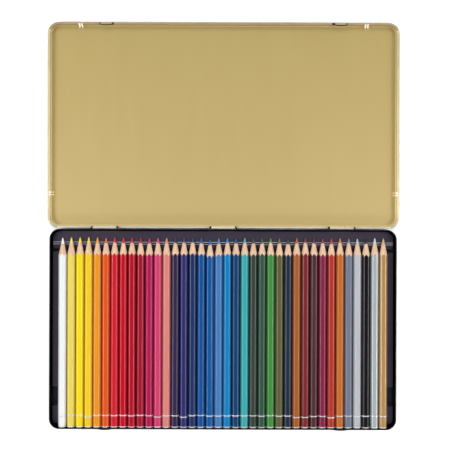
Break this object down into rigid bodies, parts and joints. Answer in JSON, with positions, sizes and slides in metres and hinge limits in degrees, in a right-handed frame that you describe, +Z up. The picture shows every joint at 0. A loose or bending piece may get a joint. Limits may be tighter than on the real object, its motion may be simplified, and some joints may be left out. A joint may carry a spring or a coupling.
{
  "type": "colored pencil tin",
  "caption": "Flat hinged metal tin lying open, with a formed tray and a full row of sharpened hexagonal coloured pencils.",
  "frame": {"origin": "centre of the base's underside, on the surface it lies on", "axes": "+Z up; +X along the row of pencils, from the white one to the gold one; +Y from the pencils' dipped ends to their points, the hinge and the open lid"},
  "size_m": [0.3258, 0.3764, 0.0115],
  "materials": {
    "black_tin": "gloss",
    "gold_lacquered_tin": "satin",
    "black_plastic": "satin",
    "pencil_white": "gloss lacquer",
    "pencil_pale_yellow": "gloss lacquer",
    "pencil_yellow": "gloss lacquer",
    "pencil_golden_yellow": "gloss lacquer",
    "pencil_orange": "gloss lacquer",
    "pencil_orange_red": "gloss lacquer",
    "pencil_red": "gloss lacquer",
    "pencil_crimson": "gloss lacquer",
    "pencil_dark_red": "gloss lacquer",
    "pencil_deep_red": "gloss lacquer",
    "pencil_magenta": "gloss lacquer",
    "pencil_pink": "gloss lacquer",
    "pencil_salmon": "gloss lacquer",
    "pencil_dark_violet": "gloss lacquer",
    "pencil_indigo": "gloss lacquer",
    "pencil_navy": "gloss lacquer",
    "pencil_blue": "gloss lacquer",
    "pencil_mid_blue": "gloss lacquer",
    "pencil_cornflower": "gloss lacquer",
    "pencil_sky_blue": "gloss lacquer",
    "pencil_dark_blue": "gloss lacquer",
    "pencil_teal": "gloss lacquer",
    "pencil_dark_green": "gloss lacquer",
    "pencil_grey_green": "gloss lacquer",
    "pencil_green": "gloss lacquer",
    "pencil_olive": "gloss lacquer",
    "pencil_prussian_blue": "gloss lacquer",
    "pencil_brown": "gloss lacquer",
    "pencil_red_brown": "gloss lacquer",
    "pencil_dark_brown": "gloss lacquer",
    "pencil_plum": "gloss lacquer",
    "pencil_brick_red": "gloss lacquer",
    "pencil_ochre": "gloss lacquer",
    "pencil_blue_grey": "gloss lacquer",
    "pencil_light_grey": "gloss lacquer",
    "pencil_black": "gloss lacquer",
    "pencil_silver": "gloss lacquer",
    "pencil_gold": "gloss lacquer"
  },
  "bodies": {
    "base": {"base_tin": "black_tin"},
    "lid": {"lid": "gold_lacquered_tin"},
    "tray": {"pencil_tray": "black_plastic"},
    "pencil_01": {"pencil_01_white": "pencil_white"},
    "pencil_02": {"pencil_02_pale_yellow": "pencil_pale_yellow"},
    "pencil_03": {"pencil_03_yellow": "pencil_yellow"},
    "pencil_04": {"pencil_04_golden_yellow": "pencil_golden_yellow"},
    "pencil_05": {"pencil_05_orange": "pencil_orange"},
    "pencil_06": {"pencil_06_orange_red": "pencil_orange_red"},
    "pencil_07": {"pencil_07_red": "pencil_red"},
    "pencil_08": {"pencil_08_crimson": "pencil_crimson"},
    "pencil_09": {"pencil_09_dark_red": "pencil_dark_red"},
    "pencil_10": {"pencil_10_deep_red": "pencil_deep_red"},
    "pencil_11": {"pencil_11_magenta": "pencil_magenta"},
    "pencil_12": {"pencil_12_pink": "pencil_pink"},
    "pencil_13": {"pencil_13_salmon": "pencil_salmon"},
    "pencil_14": {"pencil_14_dark_violet": "pencil_dark_violet"},
    "pencil_15": {"pencil_15_indigo": "pencil_indigo"},
    "pencil_16": {"pencil_16_navy": "pencil_navy"},
    "pencil_17": {"pencil_17_blue": "pencil_blue"},
    "pencil_18": {"pencil_18_mid_blue": "pencil_mid_blue"},
    "pencil_19": {"pencil_19_cornflower": "pencil_cornflower"},
    "pencil_20": {"pencil_20_sky_blue": "pencil_sky_blue"},
    "pencil_21": {"pencil_21_dark_blue": "pencil_dark_blue"},
    "pencil_22": {"pencil_22_teal": "pencil_teal"},
    "pencil_23": {"pencil_23_dark_green": "pencil_dark_green"},
    "pencil_24": {"pencil_24_grey_green": "pencil_grey_green"},
    "pencil_25": {"pencil_25_green": "pencil_green"},
    "pencil_26": {"pencil_26_olive": "pencil_olive"},
    "pencil_27": {"pencil_27_prussian_blue": "pencil_prussian_blue"},
    "pencil_28": {"pencil_28_brown": "pencil_brown"},
    "pencil_29": {"pencil_29_red_brown": "pencil_red_brown"},
    "pencil_30": {"pencil_30_dark_brown": "pencil_dark_brown"},
    "pencil_31": {"pencil_31_plum": "pencil_plum"},
    "pencil_32": {"pencil_32_brick_red": "pencil_brick_red"},
    "pencil_33": {"pencil_33_ochre": "pencil_ochre"},
    "pencil_34": {"pencil_34_blue_grey": "pencil_blue_grey"},
    "pencil_35": {"pencil_35_light_grey": "pencil_light_grey"},
    "pencil_36": {"pencil_36_black": "pencil_black"},
    "pencil_37": {"pencil_37_silver": "pencil_silver"},
    "pencil_38": {"pencil_38_gold": "pencil_gold"}
  },
  "joints": [
    {"name": "lid_hinge", "type": "hinge", "parent": "base", "child": "lid", "pos_m": [0, 0.09375, 0.0065], "axis": [-1, 0, 0], "range_deg": [-180, 0]},
    {"name": "tray_lift", "type": "slide", "parent": "base", "child": "tray", "axis": [0, 0, 1], "range_m": [0, 0.03]},
    {"name": "pencil_01_lift", "type": "slide", "parent": "tray", "child": "pencil_01", "axis": [0, 0, 1], "range_m": [0, 0.04]},
    {"name": "pencil_02_lift", "type": "slide", "parent": "tray", "child": "pencil_02", "axis": [0, 0, 1], "range_m": [0, 0.04]},
    {"name": "pencil_03_lift", "type": "slide", "parent": "tray", "child": "pencil_03", "axis": [0, 0, 1], "range_m": [0, 0.04]},
    {"name": "pencil_04_lift", "type": "slide", "parent": "tray", "child": "pencil_04", "axis": [0, 0, 1], "range_m": [0, 0.04]},
    {"name": "pencil_05_lift", "type": "slide", "parent": "tray", "child": "pencil_05", "axis": [0, 0, 1], "range_m": [0, 0.04]},
    {"name": "pencil_06_lift", "type": "slide", "parent": "tray", "child": "pencil_06", "axis": [0, 0, 1], "range_m": [0, 0.04]},
    {"name": "pencil_07_lift", "type": "slide", "parent": "tray", "child": "pencil_07", "axis": [0, 0, 1], "range_m": [0, 0.04]},
    {"name": "pencil_08_lift", "type": "slide", "parent": "tray", "child": "pencil_08", "axis": [0, 0, 1], "range_m": [0, 0.04]},
    {"name": "pencil_09_lift", "type": "slide", "parent": "tray", "child": "pencil_09", "axis": [0, 0, 1], "range_m": [0, 0.04]},
    {"name": "pencil_10_lift", "type": "slide", "parent": "tray", "child": "pencil_10", "axis": [0, 0, 1], "range_m": [0, 0.04]},
    {"name": "pencil_11_lift", "type": "slide", "parent": "tray", "child": "pencil_11", "axis": [0, 0, 1], "range_m": [0, 0.04]},
    {"name": "pencil_12_lift", "type": "slide", "parent": "tray", "child": "pencil_12", "axis": [0, 0, 1], "range_m": [0, 0.04]},
    {"name": "pencil_13_lift", "type": "slide", "parent": "tray", "child": "pencil_13", "axis": [0, 0, 1], "range_m": [0, 0.04]},
    {"name": "pencil_14_lift", "type": "slide", "parent": "tray", "child": "pencil_14", "axis": [0, 0, 1], "range_m": [0, 0.04]},
    {"name": "pencil_15_lift", "type": "slide", "parent": "tray", "child": "pencil_15", "axis": [0, 0, 1], "range_m": [0, 0.04]},
    {"name": "pencil_16_lift", "type": "slide", "parent": "tray", "child": "pencil_16", "axis": [0, 0, 1], "range_m": [0, 0.04]},
    {"name": "pencil_17_lift", "type": "slide", "parent": "tray", "child": "pencil_17", "axis": [0, 0, 1], "range_m": [0, 0.04]},
    {"name": "pencil_18_lift", "type": "slide", "parent": "tray", "child": "pencil_18", "axis": [0, 0, 1], "range_m": [0, 0.04]},
    {"name": "pencil_19_lift", "type": "slide", "parent": "tray", "child": "pencil_19", "axis": [0, 0, 1], "range_m": [0, 0.04]},
    {"name": "pencil_20_lift", "type": "slide", "parent": "tray", "child": "pencil_20", "axis": [0, 0, 1], "range_m": [0, 0.04]},
    {"name": "pencil_21_lift", "type": "slide", "parent": "tray", "child": "pencil_21", "axis": [0, 0, 1], "range_m": [0, 0.04]},
    {"name": "pencil_22_lift", "type": "slide", "parent": "tray", "child": "pencil_22", "axis": [0, 0, 1], "range_m": [0, 0.04]},
    {"name": "pencil_23_lift", "type": "slide", "parent": "tray", "child": "pencil_23", "axis": [0, 0, 1], "range_m": [0, 0.04]},
    {"name": "pencil_24_lift", "type": "slide", "parent": "tray", "child": "pencil_24", "axis": [0, 0, 1], "range_m": [0, 0.04]},
    {"name": "pencil_25_lift", "type": "slide", "parent": "tray", "child": "pencil_25", "axis": [0, 0, 1], "range_m": [0, 0.04]},
    {"name": "pencil_26_lift", "type": "slide", "parent": "tray", "child": "pencil_26", "axis": [0, 0, 1], "range_m": [0, 0.04]},
    {"name": "pencil_27_lift", "type": "slide", "parent": "tray", "child": "pencil_27", "axis": [0, 0, 1], "range_m": [0, 0.04]},
    {"name": "pencil_28_lift", "type": "slide", "parent": "tray", "child": "pencil_28", "axis": [0, 0, 1], "range_m": [0, 0.04]},
    {"name": "pencil_29_lift", "type": "slide", "parent": "tray", "child": "pencil_29", "axis": [0, 0, 1], "range_m": [0, 0.04]},
    {"name": "pencil_30_lift", "type": "slide", "parent": "tray", "child": "pencil_30", "axis": [0, 0, 1], "range_m": [0, 0.04]},
    {"name": "pencil_31_lift", "type": "slide", "parent": "tray", "child": "pencil_31", "axis": [0, 0, 1], "range_m": [0, 0.04]},
    {"name": "pencil_32_lift", "type": "slide", "parent": "tray", "child": "pencil_32", "axis": [0, 0, 1], "range_m": [0, 0.04]},
    {"name": "pencil_33_lift", "type": "slide", "parent": "tray", "child": "pencil_33", "axis": [0, 0, 1], "range_m": [0, 0.04]},
    {"name": "pencil_34_lift", "type": "slide", "parent": "tray", "child": "pencil_34", "axis": [0, 0, 1], "range_m": [0, 0.04]},
    {"name": "pencil_35_lift", "type": "slide", "parent": "tray", "child": "pencil_35", "axis": [0, 0, 1], "range_m": [0, 0.04]},
    {"name": "pencil_36_lift", "type": "slide", "parent": "tray", "child": "pencil_36", "axis": [0, 0, 1], "range_m": [0, 0.04]},
    {"name": "pencil_37_lift", "type": "slide", "parent": "tray", "child": "pencil_37", "axis": [0, 0, 1], "range_m": [0, 0.04]},
    {"name": "pencil_38_lift", "type": "slide", "parent": "tray", "child": "pencil_38", "axis": [0, 0, 1], "range_m": [0, 0.04]}
  ]
}
